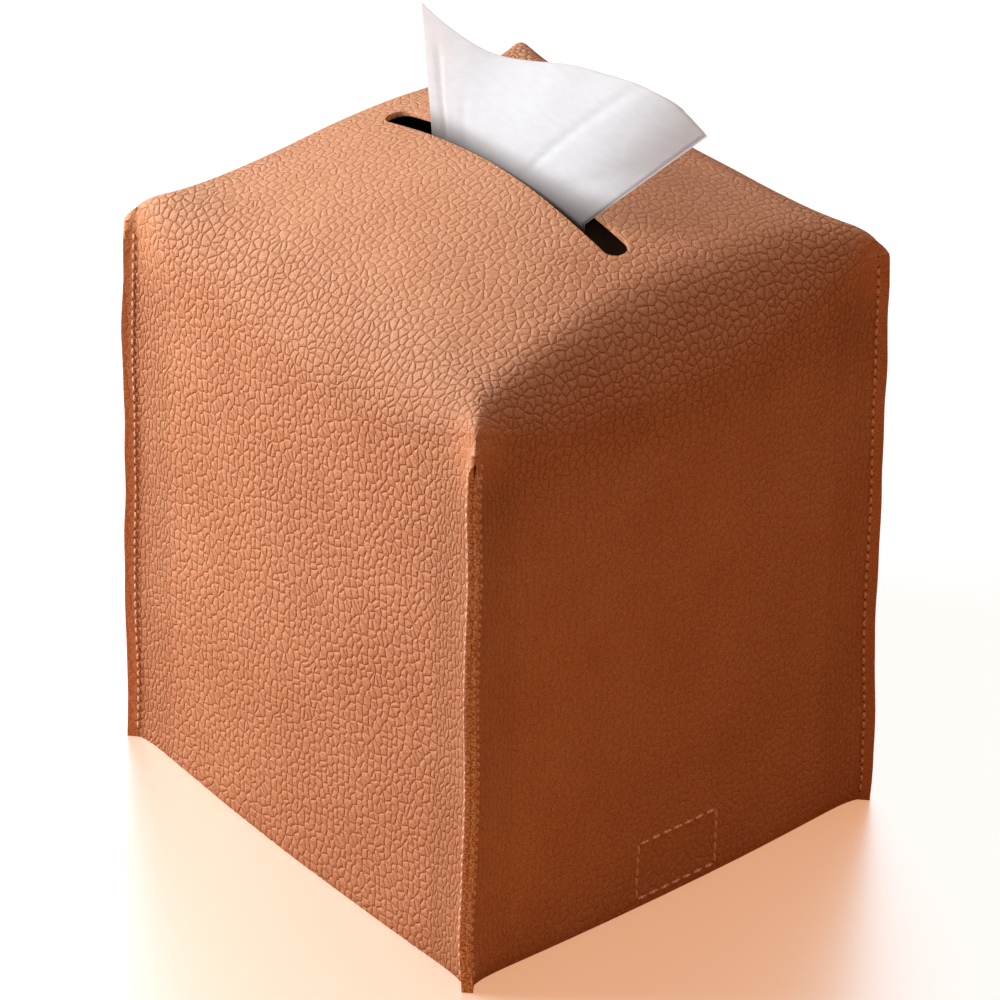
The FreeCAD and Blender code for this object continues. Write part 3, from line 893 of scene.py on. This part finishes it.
# painted reflection colour: a warm glow that only the camera sees
glow = addNode(tree, "ShaderNodeEmission", {"Color": table["glow"], "Strength": seen})
mirror = addNode(tree, "ShaderNodeMix", {0: seen, 6: (0, 0, 0, 1), 7: table["mirror"]}, data_type="RGBA").outputs[2]
gloss = addNode(tree, "ShaderNodeBsdfGlossy", {"Color": mirror, "Roughness": table["blur"]})
lit = addNode(tree, "ShaderNodeAddShader", {0: glow.outputs[0], 1: gloss.outputs[0]})
both = addNode(tree, "ShaderNodeAddShader", {0: shader.outputs[0], 1: lit.outputs[0]})
plug(tree, tree.nodes["Material Output"], {"Surface": both.outputs[0]})
floor = finishedPiece("floor", bm, [glossTable])

sky = {
    "color": "#FFA662", "strength": 0.255,           # the warm room that fills the shadows
    "card": (-0.616, 0.552, 0.562),                  # direction of the white card that the table mirrors
    "cardEdge": (0.3, 0.6),
}
world = bpy.data.worlds.new("studio")
bpy.context.scene.world = world
world.use_nodes = True
tree = world.node_tree
tree.nodes.clear()
rays = addNode(tree, "ShaderNodeLightPath")
direct = addNode(tree, "ShaderNodeMath", {0: rays.outputs["Is Camera Ray"], 1: rays.outputs["Is Transmission Ray"]},
                 operation="MAXIMUM")
# the card is behind the box, away from the camera, and only gloss shows it
aim = addNode(tree, "ShaderNodeTexCoord").outputs["Generated"]
cardReach = addNode(tree, "ShaderNodeVectorMath", {0: aim, 1: sky["card"]}, operation="DOT_PRODUCT").outputs["Value"]
cardFrom, cardTo = sky["cardEdge"]
cardShape = addNode(tree, "ShaderNodeValToRGB", {"Fac": cardReach}, stops=((cardFrom, 0.0), (cardTo, 1.0)))
card = addNode(tree, "ShaderNodeMath", {0: cardShape.outputs["Color"], 1: rays.outputs["Is Glossy Ray"]},
               operation="MULTIPLY").outputs[0]
white = addNode(tree, "ShaderNodeMath", {0: direct.outputs[0], 1: card}, operation="MAXIMUM").outputs[0]
strength = addNode(tree, "ShaderNodeMapRange", {"Value": white, "To Min": sky["strength"], "To Max": 1.0})
skyColor = addNode(tree, "ShaderNodeMix", {0: white, 6: hexColor(sky["color"]), 7: (1, 1, 1, 1)},
                   data_type="RGBA").outputs[2]
backdrop = addNode(tree, "ShaderNodeBackground", {"Color": skyColor, "Strength": strength.outputs[0]})
addNode(tree, "ShaderNodeOutputWorld", {"Surface": backdrop.outputs[0]})

# azimuth and elevation in degrees, distance and size in metres, power in watts
lamps = {
    "key": {"azimuth": -46, "elevation": 30.5, "distance": 0.66, "size": 0.34, "power": 6.3,
            "color": (0.98, 1.0, 1.01)},
    "overhead": {"azimuth": 110, "elevation": 77, "distance": 0.9, "size": 0.5, "power": 1.6,
                 "color": (1.0, 0.88, 0.78)},
}
lampAim = Vector((0, 0, 0.09))


def toward(azimuth, elevation):
    # azimuth 0 looks along +Y from the front, 90 is the right side
    az, el = math.radians(azimuth), math.radians(elevation)
    return Vector((math.sin(az) * math.cos(el), -math.cos(az) * math.cos(el), math.sin(el)))


for name, at in lamps.items():
    lamp = bpy.data.lights.new(name, "AREA")
    lamp.shape, lamp.size, lamp.energy = "DISK", at["size"], at["power"]
    lamp.color = at["color"]
    softbox = bpy.data.objects.new(name, lamp)
    fromBox = toward(at["azimuth"], at["elevation"])
    facing = fromBox.to_track_quat("Z", "Y").to_matrix().to_4x4()
    softbox.matrix_world = Matrix.Translation(lampAim + fromBox * at["distance"]) @ facing
    bpy.context.scene.collection.objects.link(softbox)

shot = {
    "azimuth": 48.15, "elevation": 34.2, "distance": 1.4115, "target": (-0.0013, 0.0018, 0.076),
    "lens": 216, "sensor": 36, "roll": 0.75,
}
back = toward(shot["azimuth"], shot["elevation"])
lens = bpy.data.cameras.new("camera")
lens.lens, lens.sensor_width, lens.clip_end = shot["lens"], shot["sensor"], 20
camera = bpy.data.objects.new("camera", lens)
turn = back.to_track_quat("Z", "Y").to_matrix() @ Matrix.Rotation(math.radians(shot["roll"]), 3, "Z")
camera.matrix_world = Matrix.Translation(Vector(shot["target"]) + back * shot["distance"]) @ turn.to_4x4()
bpy.context.scene.collection.objects.link(camera)
bpy.context.scene.camera = camera
bpy.context.scene.view_settings.view_transform = "Standard"

print("done")
